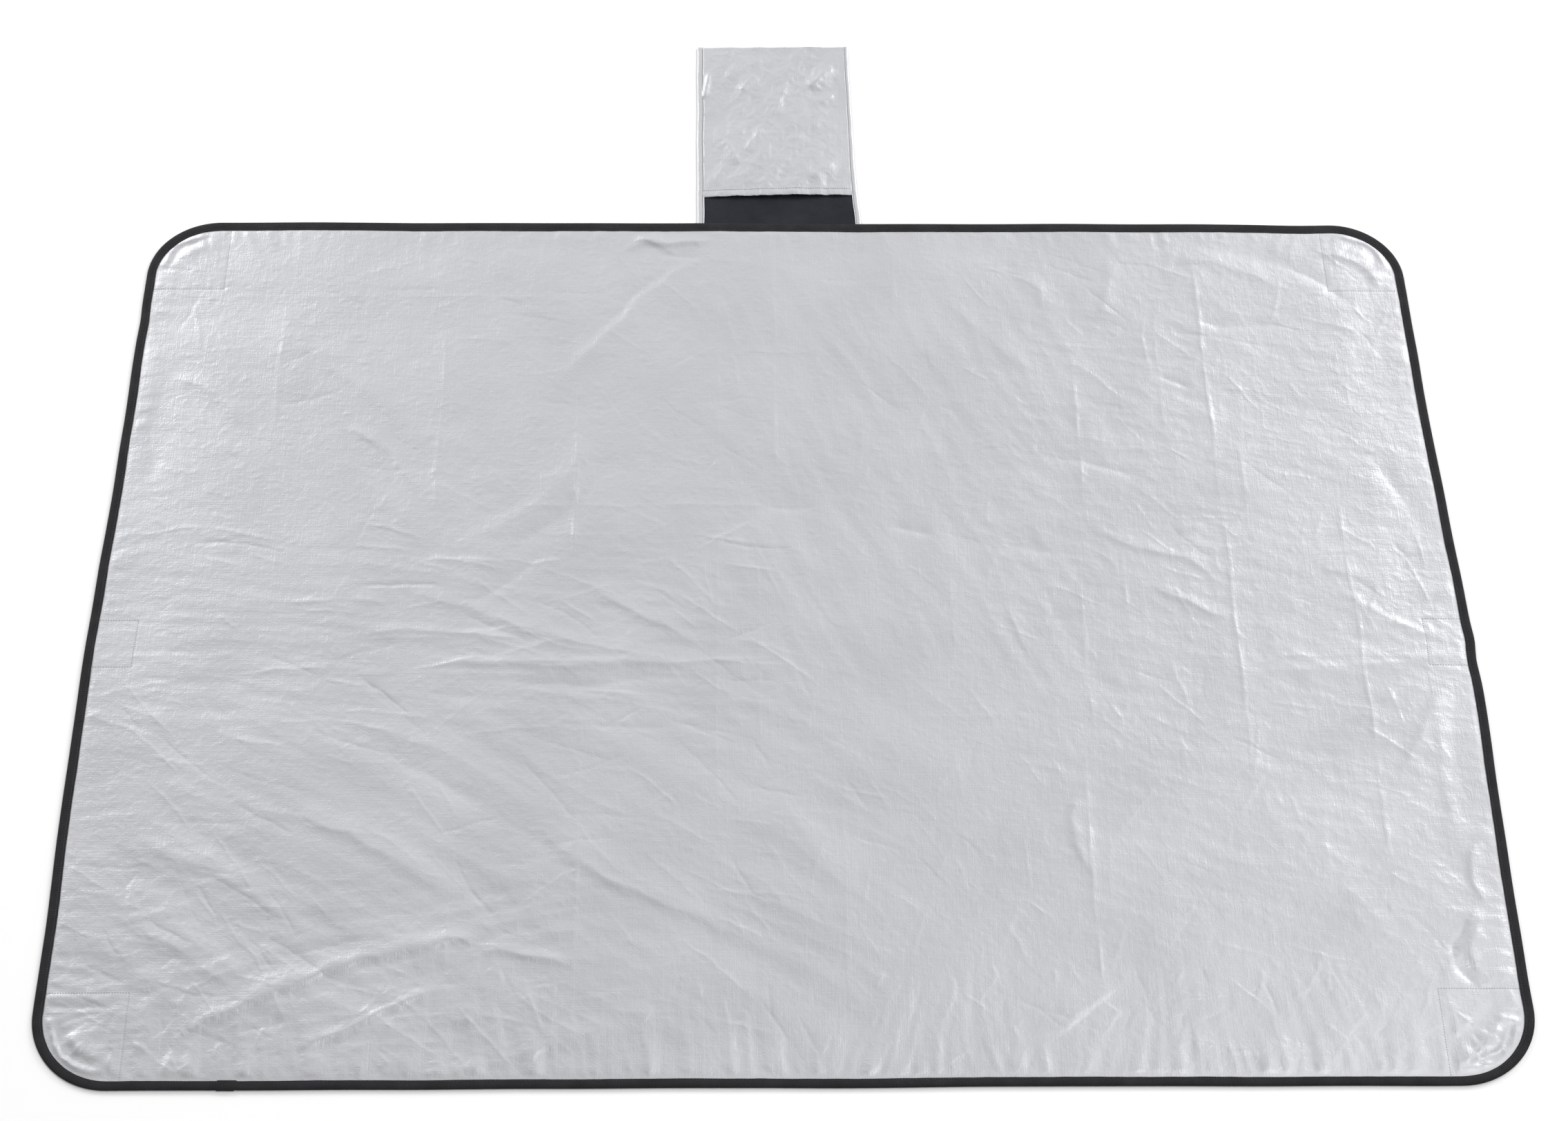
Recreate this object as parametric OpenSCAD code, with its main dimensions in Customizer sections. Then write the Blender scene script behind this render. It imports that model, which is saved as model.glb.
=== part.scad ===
// Folding ground blanket with a reflective coated backing, bound edges and a sewn-on storage pouch.
// It lies flat on the ground, backing up. Millimetres, +Z up, the pouch towards +Y.

/* [Blanket] */
// Length of the long edges, outside the binding
blanket_w = 2000; // [1200:10:2400]
// Length of the short edges, outside the binding
blanket_d = 1500; // [1000:10:2000]
// Radius of the four rounded corners
corner_r = 110; // [40:5:200]
// Thickness of the soft face fabric, which lies against the ground
face_t = 0.5; // [0.2:0.1:1.5]
// Thickness of the wadding between the face and the backing
wadding_t = 1.2; // [0.5:0.1:5]
// Thickness of the coated backing
backing_t = 0.3; // [0.1:0.1:1]

/* [Edge binding] */
// Width of the binding tape seen on each side
binding_w = 13; // [8:1:30]
// Thickness of the binding tape
binding_t = 0.6; // [0.3:0.1:1.5]
// Where the tape's ends overlap on the near edge, from the left edge
lap_from_left = 265; // [150:5:1800]
// Length of that overlap
lap_l = 24; // [10:1:60]

/* [Reinforcement patches] */
// Size of the corner patches along the long edge
corner_patch_w = 125; // [60:5:200]
// Size of the corner patches along the short edge
corner_patch_d = 140; // [60:5:200]
// Reach of the side patches from the edge
side_patch_w = 70; // [30:5:150]
// Length of the side patches along the edge
side_patch_d = 80; // [30:5:150]
// Middle of the side patches from the far edge
side_patch_at = 805; // [760:5:1080]
// Thickness of the patches
patch_t = 0.5; // [0.2:0.1:1.5]

/* [Storage pouch] */
// Width of the pouch
pouch_w = 259; // [150:5:500]
// Length of the pouch beyond the far edge
pouch_l = 393; // [200:5:600]
// Length of lining left bare between the far edge and the mouth
mouth_at = 56; // [20:1:120]
// Thickness of the pouch fabric
pouch_t = 0.6; // [0.2:0.1:1.5]
// Width of the side hems
hem_w = 12; // [6:1:25]
// Width of the hem along the mouth
mouth_hem_w = 15; // [8:1:30]
// Rise of the front panel at its middle, which keeps the pouch open
pouch_rise = 7; // [5:0.5:8]

/* [Folds] */
// Gap left between two panels of cloth at a fold line
fold_gap = 0.8; // [0.6:0.1:3]

/* [Part shown] */
// Name of one part, or all

/* [Hidden] */
$fn = 180;
panel_n = 4;
panel_d = blanket_d / panel_n;
far_y = (blanket_d - pouch_l) / 2;
near_y = far_y - blanket_d;
mid_y = (far_y + near_y) / 2;
face_z = binding_t;
wadding_z = face_z + face_t;
backing_z = wadding_z + wadding_t;
cloth_top = backing_z + backing_t;
binding_h = cloth_top + binding_t;
pouch_y = far_y + fold_gap / 2;
pouch_end = far_y + pouch_l;
lining_z = pouch_t;
lining_t = 0.4;
front_z = lining_z + lining_t;
arch_half = pouch_w / 2 - hem_w - 1;
arch_r = (arch_half * arch_half + pouch_rise * pouch_rise) / (2 * pouch_rise);
arch_centre = front_z + pouch_rise - arch_r;
front_y = far_y + mouth_at;

silver = [0.72, 0.73, 0.75];
black = [0.1, 0.1, 0.11];
grey = [0.32, 0.33, 0.35];
white = [0.85, 0.85, 0.83];

// The blanket's outline, drawn in by inset and made h high.
module outline(inset, z, h) {
  r = corner_r - inset;
  hw = blanket_w / 2 - inset;
  hd = blanket_d / 2 - inset;
  translate([0, mid_y, z]) union() {
    translate([-hw + r, -hd, 0]) cube([2 * (hw - r), 2 * hd, h]);
    translate([-hw, -hd + r, 0]) cube([2 * hw, 2 * (hd - r), h]);
    for (sx = [-1, 1], sy = [-1, 1])
      translate([sx * (hw - r), sy * (hd - r), 0]) cylinder(r = r, h = h);
  }
}

// Everything between two distances from the far edge, over a stretch of the width.
module zone(from, to, x0, x1) {
  translate([x0, far_y - to, -5]) cube([x1 - x0, to - from, 30]);
}

// Zone of panel i, counted from the far edge, less its half of the fold gaps.
module panel_zone(i, x0 = -blanket_w, x1 = blanket_w) {
  from = i == 1 ? -10 : (i - 1) * panel_d + fold_gap / 2;
  to = i == panel_n ? blanket_d + 10 : i * panel_d - fold_gap / 2;
  zone(from, to, x0, x1);
}

// One layer of cloth within panel i.
module layer(i, z, t) {
  intersection() {
    outline(binding_t, z, t);
    panel_zone(i);
  }
}

// The tape folded over the edge all round, before it is cut into runs.
module tape() {
  difference() {
    outline(0, 0, binding_h);
    outline(binding_w, -1, binding_h + 2);
    outline(binding_t, binding_t, cloth_top - binding_t);
  }
}

// One run of the tape.
module tape_run(i, x0, x1) {
  intersection() {
    tape();
    panel_zone(i, x0, x1);
  }
}

// A reinforcing patch under the face fabric, held by the tape on its outer sides.
module patch(from, to, x0, x1) {
  intersection() {
    outline(binding_w, face_z - patch_t, patch_t);
    zone(from, to, x0, x1);
  }
}

module corner_patch(sx, far) {
  x0 = sx < 0 ? -blanket_w / 2 : blanket_w / 2 - corner_patch_w;
  from = far ? 0 : blanket_d - corner_patch_d;
  patch(from, from + corner_patch_d, x0, x0 + corner_patch_w);
}

module side_patch(sx) {
  x0 = sx < 0 ? -blanket_w / 2 : blanket_w / 2 - side_patch_w;
  patch(side_patch_at - side_patch_d / 2, side_patch_at + side_patch_d / 2, x0, x0 + side_patch_w);
}

module backing_panel(i) { color(silver) layer(i, backing_z, backing_t); }
module wadding_panel(i) { color(white) layer(i, wadding_z, wadding_t); }
module face_panel(i) { color(grey) layer(i, face_z, face_t); }

module binding_end(i) { color(black) tape_run(i, -blanket_w, blanket_w); }
module binding_side(i, sx) {
  color(black) tape_run(i, sx < 0 ? -blanket_w : 0, sx < 0 ? 0 : blanket_w);
}
module binding_lap() {
  color(black) translate([-blanket_w / 2 + lap_from_left - lap_l / 2, near_y, binding_h])
    cube([lap_l, binding_w, binding_t - 0.1]);
}

// A band of cloth bowed over the pouch, from radius a to radius b, between two distances from its start.
module bow(a, b, y0, y1, half) {
  intersection() {
    difference() {
      translate([0, y0, arch_centre]) rotate([-90, 0, 0]) cylinder(r = b, h = y1 - y0, $fn = 720);
      translate([0, y0 - 1, arch_centre]) rotate([-90, 0, 0])
        cylinder(r = a, h = y1 - y0 + 2, $fn = 720);
    }
    translate([-half, y0, front_z]) cube([2 * half, y1 - y0, 40]);
  }
}

module pouch_back() {
  color(silver) translate([-pouch_w / 2, pouch_y, 0])
    cube([pouch_w, pouch_end - pouch_y, pouch_t]);
}
module pouch_lining() {
  color(black) translate([-pouch_w / 2 + pouch_t, pouch_y, lining_z])
    cube([pouch_w - 2 * pouch_t, pouch_end - pouch_y - pouch_t, lining_t]);
}
module pouch_front() {
  color(silver) union() {
    bow(arch_r, arch_r + pouch_t, front_y, pouch_end - pouch_t, arch_half + 2);
    for (x = [-pouch_w / 2 + pouch_t, arch_half])
      translate([x, front_y, front_z])
        cube([pouch_w / 2 - pouch_t - arch_half, pouch_end - pouch_t - front_y, pouch_t]);
  }
}
module pouch_mouth_hem() {
  color(silver) bow(arch_r + pouch_t, arch_r + 2 * pouch_t - 0.1, front_y,
    front_y + mouth_hem_w, arch_half - 12);
}
module pouch_hem(sx) {
  x0 = pouch_w / 2 - hem_w;
  color(silver) mirror([sx < 0 ? 1 : 0, 0, 0]) union() {
    translate([x0 + hem_w - pouch_t, pouch_y, pouch_t])
      cube([pouch_t, pouch_end - pouch_y, lining_t + 2 * pouch_t]);
    translate([x0, pouch_y, front_z + pouch_t])
      cube([hem_w, pouch_end - pouch_y, pouch_t]);
  }
}
module pouch_top_fold() {
  color(silver) union() {
    bow(arch_r - 60, arch_r + pouch_t, pouch_end - pouch_t, pouch_end, arch_half + 2);
    translate([-pouch_w / 2 + pouch_t, pouch_end - pouch_t, lining_z])
      cube([pouch_w - 2 * pouch_t, pouch_t, lining_t + pouch_t]);
  }
}

backing_panel(1);  // backing_panel_1
backing_panel(2);  // backing_panel_2
backing_panel(3);  // backing_panel_3
backing_panel(4);  // backing_panel_4
wadding_panel(1);  // wadding_panel_1
wadding_panel(2);  // wadding_panel_2
wadding_panel(3);  // wadding_panel_3
wadding_panel(4);  // wadding_panel_4
face_panel(1);  // face_panel_1
face_panel(2);  // face_panel_2
face_panel(3);  // face_panel_3
face_panel(4);  // face_panel_4
binding_end(1);  // binding_far
binding_end(4);  // binding_near
binding_side(2, -1);  // binding_left_2
binding_side(3, -1);  // binding_left_3
binding_side(2, 1);  // binding_right_2
binding_side(3, 1);  // binding_right_3
binding_lap();
color(black) corner_patch(-1, true);  // corner_patch_far_left
color(black) corner_patch(1, true);  // corner_patch_far_right
color(black) corner_patch(-1, false);  // corner_patch_near_left
color(black) corner_patch(1, false);  // corner_patch_near_right
color(black) side_patch(-1);  // side_patch_left
color(black) side_patch(1);  // side_patch_right
pouch_back();
pouch_lining();
pouch_front();
pouch_mouth_hem();
pouch_hem(-1);  // pouch_hem_left
pouch_hem(1);  // pouch_hem_right
pouch_top_fold();
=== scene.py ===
import math

import bpy
import numpy as np
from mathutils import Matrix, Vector


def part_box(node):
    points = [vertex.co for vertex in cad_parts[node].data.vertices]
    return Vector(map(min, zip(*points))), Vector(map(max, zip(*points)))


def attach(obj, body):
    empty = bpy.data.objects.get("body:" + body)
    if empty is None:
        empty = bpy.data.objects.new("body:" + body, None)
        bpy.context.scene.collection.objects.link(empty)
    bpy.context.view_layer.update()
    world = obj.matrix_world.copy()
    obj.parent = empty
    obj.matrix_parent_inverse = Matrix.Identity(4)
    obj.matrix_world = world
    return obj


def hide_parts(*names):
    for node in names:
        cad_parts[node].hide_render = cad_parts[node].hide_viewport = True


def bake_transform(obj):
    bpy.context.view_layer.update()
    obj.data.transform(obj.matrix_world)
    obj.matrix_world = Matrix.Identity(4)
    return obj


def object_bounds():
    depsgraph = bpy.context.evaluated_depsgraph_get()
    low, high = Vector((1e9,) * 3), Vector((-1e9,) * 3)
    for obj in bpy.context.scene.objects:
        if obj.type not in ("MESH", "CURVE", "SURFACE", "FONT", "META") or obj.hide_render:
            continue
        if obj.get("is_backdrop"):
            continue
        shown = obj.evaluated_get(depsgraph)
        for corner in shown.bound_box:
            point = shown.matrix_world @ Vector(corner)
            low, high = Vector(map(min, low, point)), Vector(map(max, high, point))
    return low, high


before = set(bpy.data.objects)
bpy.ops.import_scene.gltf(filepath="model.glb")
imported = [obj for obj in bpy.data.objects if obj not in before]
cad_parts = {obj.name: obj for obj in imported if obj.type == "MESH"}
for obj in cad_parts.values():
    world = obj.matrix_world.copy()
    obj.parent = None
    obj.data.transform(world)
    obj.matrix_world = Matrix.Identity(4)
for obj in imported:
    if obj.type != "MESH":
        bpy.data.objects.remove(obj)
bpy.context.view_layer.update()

# ---------------------------------------------------------------- sizes, from the CAD
far_lo, far_hi = (np.array(c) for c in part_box("binding_far"))
near_lo = np.array(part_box("binding_near")[0])
pouch_hi = np.array(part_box("pouch_back")[1])
FAR, NEAR = float(far_hi[1]), float(near_lo[1])
W, D = float(far_hi[0] - far_lo[0]), FAR - NEAR
PANEL = D / 4
RAD = 0.110
TAPE_TOP = float(far_hi[2])
# the flat cloth's top lies a little below the tape's
CLOTH = TAPE_TOP - 0.0006
# each fold line's y, and half the length of cloth that bends there
FOLDS = [(FAR - PANEL, 0.017), (FAR - 2 * PANEL, 0.008), (FAR - 3 * PANEL, 0.004)]
# y of the joins between the three runs of cloth, with room to spare at both ends
CUTS = [FAR + 1, FAR - 1.5 * PANEL, FAR - 2.5 * PANEL, NEAR - 1]
MM = 0.001
# the same sizes in mm, as the relief uses them
WM, DM = W * 1000, D * 1000
RAD_MM, TAPE_MM = RAD * 1000, 13


# ---------------------------------------------------------------- noise and curves
def hashed(ix, iy, seed):
    """The same pseudo-random number each time, from 0 to 1, for each point of a grid."""
    h = ix.astype(np.int64) * 374761393 + iy.astype(np.int64) * 668265263 + seed * 974634777
    h = (h ^ (h >> 13)) * 1274126177 & 0xFFFFFFFF
    return ((h ^ (h >> 16)) & 0xFFFF) / 65536.0


def noise(x, y, seed=0):
    """Smooth noise from about -1 to 1."""
    x, y = np.broadcast_arrays(np.asarray(x, float), np.asarray(y, float))
    ix, iy = np.floor(x), np.floor(y)
    fx, fy = x - ix, y - iy
    u, v = fx * fx * fx * (fx * (fx * 6 - 15) + 10), fy * fy * fy * (fy * (fy * 6 - 15) + 10)

    def g(dx, dy):
        a = hashed(ix + dx, iy + dy, seed) * 2 * math.pi
        return np.cos(a) * (fx - dx) + np.sin(a) * (fy - dy)

    n = (g(0, 0) * (1 - u) + g(1, 0) * u) * (1 - v) + (g(0, 1) * (1 - u) + g(1, 1) * u) * v
    return n * 1.5


def smooth(t):
    """An even step from 0 to 1."""
    t = np.clip(t, 0, 1)
    return t * t * (3 - 2 * t)


def path_points(points, n=60):
    """A smooth curve through a few points."""
    p = np.array(points, float)
    p = np.vstack([2 * p[0] - p[1], p, 2 * p[-1] - p[-2]])
    t = np.linspace(0, len(points) - 1 - 1e-9, n)
    i = t.astype(int)
    f = (t - i)[:, None]
    a, b, c, d = p[i], p[i + 1], p[i + 2], p[i + 3]
    return 0.5 * (2 * b + (c - a) * f + (2 * a - 5 * b + 4 * c - d) * f**2 + (3 * b - a - 3 * c + d) * f**3)


# ---------------------------------------------------------------- the cloth's relief, in mm
# X runs from the left edge and V from the far edge, both in mm.
STEP = 2.0
GX, GV = np.meshgrid(np.arange(0, WM + 1, STEP), np.arange(0, DM + 1, STEP))
H = np.zeros_like(GX)


def add_fold(points, amp, width, sharp=1.5, skew=0.5, ends=0.3):
    """A wrinkle along a curve. It is steeper on one side and fades towards its ends."""
    c = path_points(points)
    pad = width * 4
    x0, v0 = c.min(0) - pad
    x1, v1 = c.max(0) + pad
    i0, i1 = max(0, int(v0 / STEP)), min(H.shape[0], int(v1 / STEP) + 2)
    j0, j1 = max(0, int(x0 / STEP)), min(H.shape[1], int(x1 / STEP) + 2)
    if i0 >= i1 or j0 >= j1:
        return
    gx, gv = GX[i0:i1, j0:j1], GV[i0:i1, j0:j1]
    gx = gx + 5 * noise(gx / 45, gv / 45, 71)
    gv = gv + 5 * noise(gx / 45, gv / 45, 72)
    best, at, side = np.full(gx.shape, 1e9), np.zeros(gx.shape), np.zeros(gx.shape)
    tan = np.gradient(c, axis=0)
    tan /= np.linalg.norm(tan, axis=1)[:, None] + 1e-9
    for k in range(len(c)):
        dx, dv = gx - c[k, 0], gv - c[k, 1]
        d = dx * dx + dv * dv
        m = d < best
        best[m], at[m] = d[m], k / (len(c) - 1)
        side[m] = (tan[k, 0] * dv - tan[k, 1] * dx)[m]
    dist = np.where((at > 0) & (at < 1), np.abs(side), np.sqrt(best))
    w = np.where(side > 0, width * (1 - skew * 0.6), width * (1 + skew * 0.6))
    fade = smooth(at / ends) * smooth((1 - at) / ends) if ends > 0 else 1
    fade = fade * (0.75 + 0.25 * noise(at * 5, 0.5, int(abs(points[0][0])) + 5))
    H[i0:i1, j0:j1] += amp * fade * np.exp(-((dist / w) ** sharp))


def add_crease(x, v0, v1, amp, down=True, width=3.5):
    """A line left by folding, parallel to the short edges, or to the long ones with down False."""
    a, b = (GX, GV) if down else (GV, GX)
    wob = 3 * noise(b / 90, x * 0.013, 31) + 1.2 * noise(b / 22, x * 0.017, 32)
    d = a - x - wob
    soft = min(110, 0.36 * (v1 - v0))
    along = smooth((b - v0) / soft) * smooth((v1 - b) / soft)
    along = along * (0.6 + 0.9 * noise(b / 48, x * 0.031, 33)).clip(0.05, 1.3)
    H[:] += amp * along * (0.75 * np.exp(-np.abs(d) / width) + 0.5 * np.exp(-np.abs(d) / 22))


def crumple(x, v, size, seed):
    """Creased like foil: flat faces that meet in sharp lines."""
    wx = x + 0.16 * size * noise(x / size * 1.7, v / size * 1.7, seed + 7)
    wv = v + 0.16 * size * noise(x / size * 1.7 + 9, v / size * 1.7, seed + 8)
    n = noise(wx / size, wv / size, seed)
    return 0.35 - np.abs(n)


def within(x0, x1, v0, v1, soft=160):
    """1 inside a rectangle of the cloth, fading to 0 round it."""
    return (smooth((GX - x0) / soft + 0.5) * smooth((x1 - GX) / soft + 0.5)
            * smooth((GV - v0) / soft + 0.5) * smooth((v1 - GV) / soft + 0.5))


# slow swells
H += 0.75 + 0.5 * noise(GX / 300, GV / 230, 1) + 0.35 * noise(GX / 130, GV / 110, 2)
# foil-like crumpling, stronger to the right and along the near edge
rough = 0.33 + 0.24 * within(1330, 2100, -100, 1600, 300) + 0.25 * within(-100, 700, 1180, 1600) \
    + 0.18 * within(350, 1000, 620, 980)
rough = rough * (0.8 + 0.5 * noise(GX / 210, GV / 210, 3))
H += rough * (1.5 * crumple(GX, GV, 170, 11) + 1.0 * crumple(GX, GV * 1.25, 82, 12)
              + 0.62 * crumple(GX * 1.1, GV * 1.5, 40, 13) + 0.30 * crumple(GX, GV * 1.3, 21, 14))


def drag(angle, length, width, amp, mask, seed):
    """Long parallel wrinkles, where the cloth is pulled."""
    c, s = math.cos(angle), math.sin(angle)
    u, w = GX * c + GV * s, -GX * s + GV * c
    w = w + 8 * noise(u / 130, w / 90, seed + 1)
    n = noise(u / length, w / width, seed)
    H[:] += amp * mask * (0.55 * n + 0.6 * (0.3 - np.abs(noise(u / length, w / width, seed + 2))))


drag(0.55, 260, 46, 1.15, within(60, 1150, 900, 1440), 21)
drag(0.08, 210, 24, 0.50, within(60, 980, 640, 960), 22)
drag(0.30, 110, 26, 0.42, within(1330, 1960, 150, 1300), 24)
drag(1.15, 170, 34, 0.65, within(880, 1500, 120, 900), 26)
drag(-0.22, 160, 26, 0.70, within(60, 800, 1180, 1480), 28)
drag(0.75, 190, 60, 0.55, within(60, 700, 150, 620), 29)

# lines left by folding: X of the line, V where it starts and ends, and its height
DOWN_CREASES = (
    (228, 140, 480, 0.7), (482, 150, 640, 0.7), (500, 850, 1010, 0.5), (692, 260, 700, 1.2),
    (712, 860, 1420, 0.8), (790, 170, 390, 0.5), (905, 60, 1120, 0.6), (992, 40, 560, 0.8),
    (966, 750, 1020, 0.6), (1082, 990, 1430, 0.4), (1250, 600, 880, 0.5), (1456, 250, 620, 1.2),
    (1440, 600, 1010, 0.7), (1424, 980, 1410, 1.1), (1506, 630, 780, 1.0), (1590, 120, 470, 0.7),
    (1662, 60, 1030, 1.1), (1700, 390, 610, 0.6), (1751, 1070, 1210, 1.1), (1836, 480, 1210, 1.1),
    (1882, 220, 390, 0.5), (1946, 590, 730, 0.6), (182, 920, 1070, 0.5), (216, 1070, 1290, 0.6),
    (360, 1090, 1260, 0.5), (656, 1070, 1210, 0.5), (410, 1300, 1380, 0.7), (540, 1230, 1340, 0.9),
)
# and those the other way: V of the line, X where it starts and ends, and its height
ACROSS_CREASES = (
    (155, 0, 700, 0.5), (236, 460, 700, 0.4), (365, 1050, 1340, 0.4), (560, 580, 1060, 0.6),
    (733, 90, 490, 0.6), (796, 340, 650, 0.8), (838, 470, 970, 1.2), (858, 190, 910, 0.5),
    (932, 1140, 1570, 0.4), (1042, 1690, 1960, 0.5), (1150, 870, 1060, 0.4), (1192, 570, 890, 0.4),
    (830, 1560, 1990, 0.7),
)
DOWN_HEIGHT, ACROSS_HEIGHT, WRINKLE_HEIGHT = 0.8, 0.75, 0.85
for x, v0, v1, amp in DOWN_CREASES:
    add_crease(x, v0, v1, amp * DOWN_HEIGHT, width=2.4)
for v, x0, x1, amp in ACROSS_CREASES:
    add_crease(v, x0, x1, amp * ACROSS_HEIGHT, down=False)

# the larger wrinkles: a few points (X, V) along each, its height and half its width
WRINKLES = (
    (((905, 45), (800, 145), (722, 240), (650, 340)), 1.8, 18),
    (((860, 75), (770, 160), (700, 255)), -1.2, 15),
    (((712, 390), (690, 480), (640, 555), (555, 615), (470, 640)), 1.6, 30),
    (((735, 420), (715, 520), (650, 600), (560, 655)), -1.8, 20),
    (((390, 690), (560, 755), (740, 815), (910, 850)), 1.6, 11),
    (((690, 690), (790, 755), (895, 820)), 1.9, 11),
    (((520, 745), (600, 700), (665, 625)), -1.2, 14),
    (((350, 790), (500, 785), (640, 800)), 1.3, 9),
    (((480, 840), (700, 845), (960, 835)), 1.7, 9),
    (((560, 880), (720, 875), (860, 860)), -1.2, 12),
    (((180, 190), (300, 290), (430, 410)), 1.3, 18),
    (((55, 315), (130, 350), (195, 425)), 1.8, 15),
    (((60, 300), (45, 420), (60, 540)), -1.5, 16),
    (((335, 400), (410, 470), (455, 545)), 1.4, 9),
    (((420, 980), (510, 1030), (585, 1085)), -1.5, 14),
    (((640, 1100), (760, 1190), (960, 1290)), 2.0, 15),
    (((60, 1130), (220, 1180), (405, 1315)), 1.5, 17),
    (((200, 1060), (420, 1130), (560, 1235)), 1.9, 15),
    (((780, 1110), (940, 1180), (1060, 1280)), 1.2, 17),
    (((80, 1240), (200, 1305), (275, 1365)), 1.3, 12),
    (((140, 1455), (330, 1350), (535, 1282), (575, 1300)), 3.6, 11),
    (((330, 1455), (455, 1392), (545, 1350)), 2.9, 9),
    (((575, 1300), (650, 1305), (715, 1325)), 2.3, 9),
    (((600, 1470), (720, 1430), (800, 1400)), 1.5, 11),
    (((1400, 470), (1480, 485), (1565, 518)), -1.9, 11),
    (((1450, 590), (1525, 635), (1600, 660), (1665, 712)), 1.7, 10),
    (((1540, 700), (1600, 742), (1672, 772)), 1.6, 9),
    (((1560, 612), (1640, 600)), 1.2, 9),
    (((1320, 628), (1425, 650)), -1.4, 10),
    (((1150, 600), (1235, 618)), -1.3, 9),
    (((960, 565), (1060, 570)), -1.0, 8),
    (((1640, 200), (1730, 216), (1835, 200)), -1.4, 11),
    (((1580, 312), (1645, 342)), -1.3, 9),
    (((1630, 38), (1745, 62), (1860, 118), (1905, 180)), -2.2, 14),
    (((1600, 60), (1720, 92), (1830, 150)), 1.3, 14),
    (((1855, 50), (1935, 88), (1965, 140)), 2.4, 12),
    (((1895, 460), (1940, 560), (1965, 640)), -2.0, 15),
    (((1962, 850), (1948, 1000), (1962, 1190)), -1.1, 15),
    (((1935, 860), (1925, 1000), (1935, 1150)), 1.0, 13),
    (((1975, 828), (1860, 845), (1625, 862)), 1.6, 10),
    (((1970, 836), (1870, 900), (1760, 960)), 1.6, 12),
    (((1968, 842), (1900, 960), (1860, 1060)), 1.5, 14),
    (((1975, 815), (1890, 770), (1800, 700)), 1.3, 12),
    (((1965, 1200), (1920, 1290), (1880, 1370)), 1.9, 15),
    (((1420, 1050), (1400, 1110), (1430, 1200)), 1.7, 10),
    (((1330, 1440), (1470, 1335)), 1.8, 13),
    (((1958, 1245), (1928, 1300), (1950, 1350)), 2.6, 10),
    (((1935, 1240), (1905, 1310), (1935, 1372)), -2.4, 9),
    (((1950, 1380), (1915, 1420), (1868, 1448)), -3.0, 8),
    (((1962, 1388), (1930, 1440), (1880, 1464)), 2.6, 7),
    (((1962, 1120), (1945, 1180), (1960, 1240)), 2.0, 9),
    (((1480, 1420), (1600, 1448), (1730, 1440)), 1.5, 10),
    (((760, 36), (830, 44), (900, 35)), 4.2, 8),
    (((800, 68), (890, 72)), -1.0, 9),
    (((740, 62), (800, 46), (850, 70)), 1.6, 9),
    (((960, 1010), (1060, 1180), (1100, 1290)), 0.9, 22),
    (((985, 570), (1030, 680), (1075, 760)), 1.0, 14),
    (((1240, 140), (1330, 240), (1400, 330)), 0.9, 15),
    (((1370, 90), (1410, 140), (1425, 200)), 1.3, 10),
    (((1530, 60), (1522, 140), (1500, 215)), 1.2, 12),
)
for pts, amp, width in WRINKLES:
    add_fold(pts, amp * WRINKLE_HEIGHT, width)


def fine_creases(count, x0, x1, v0, v1, angle, spread, amp, length, seed):
    """Many short sharp creases, as in crushed foil, around one direction."""
    rng = np.random.default_rng(seed)
    for _ in range(count):
        cx, cv = rng.uniform(x0, x1), rng.uniform(v0, v1)
        a = math.radians(angle + spread * rng.normal())
        half = 0.5 * length * rng.uniform(0.4, 1.5)
        high = amp * rng.uniform(0.4, 1.2) * rng.choice((1, 1, -1))
        bow, side = rng.normal() * 0.0009, rng.uniform(1.6, 3.2)
        pad = half + 25
        i0, i1 = max(0, int((cv - pad) / STEP)), min(H.shape[0], int((cv + pad) / STEP) + 2)
        j0, j1 = max(0, int((cx - pad) / STEP)), min(H.shape[1], int((cx + pad) / STEP) + 2)
        if i0 >= i1 - 2 or j0 >= j1 - 2:
            continue
        gx, gv = GX[i0:i1, j0:j1] - cx, GV[i0:i1, j0:j1] - cv
        u, w = gx * math.cos(a) + gv * math.sin(a), -gx * math.sin(a) + gv * math.cos(a)
        w = w - bow * u * u + 2.2 * noise(u / 26, w / 60, int(cx)) + 0.8 * noise(u / 9, w / 40, int(cv))
        # a sharp line, with a broad slope on one side of it
        shape = 0.55 * np.exp(-np.abs(w) / side) + 0.45 * np.exp(-np.abs(w) / np.where(w > 0, 5 * side, side))
        H[i0:i1, j0:j1] += high * shape * smooth((half - np.abs(u)) / (0.6 * half))


# far left, centre, right, left middle, near left, near right, along the near edge
fine_creases(80, 60, 950, 60, 620, 35, 38, 0.30, 90, 61)
fine_creases(90, 800, 1350, 60, 1400, 80, 45, 0.36, 110, 62)
fine_creases(150, 1300, 1960, 60, 1000, 25, 38, 0.40, 85, 63)
fine_creases(80, 60, 1000, 600, 960, 8, 22, 0.60, 120, 64)
fine_creases(130, 60, 1000, 950, 1440, 30, 26, 0.42, 110, 65)
fine_creases(70, 1100, 1960, 950, 1440, 65, 40, 0.36, 90, 66)
fine_creases(110, 150, 1850, 1330, 1480, 100, 30, 0.50, 60, 67)
fine_creases(60, 40, 330, 1180, 1470, 40, 40, 0.50, 70, 68)

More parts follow.
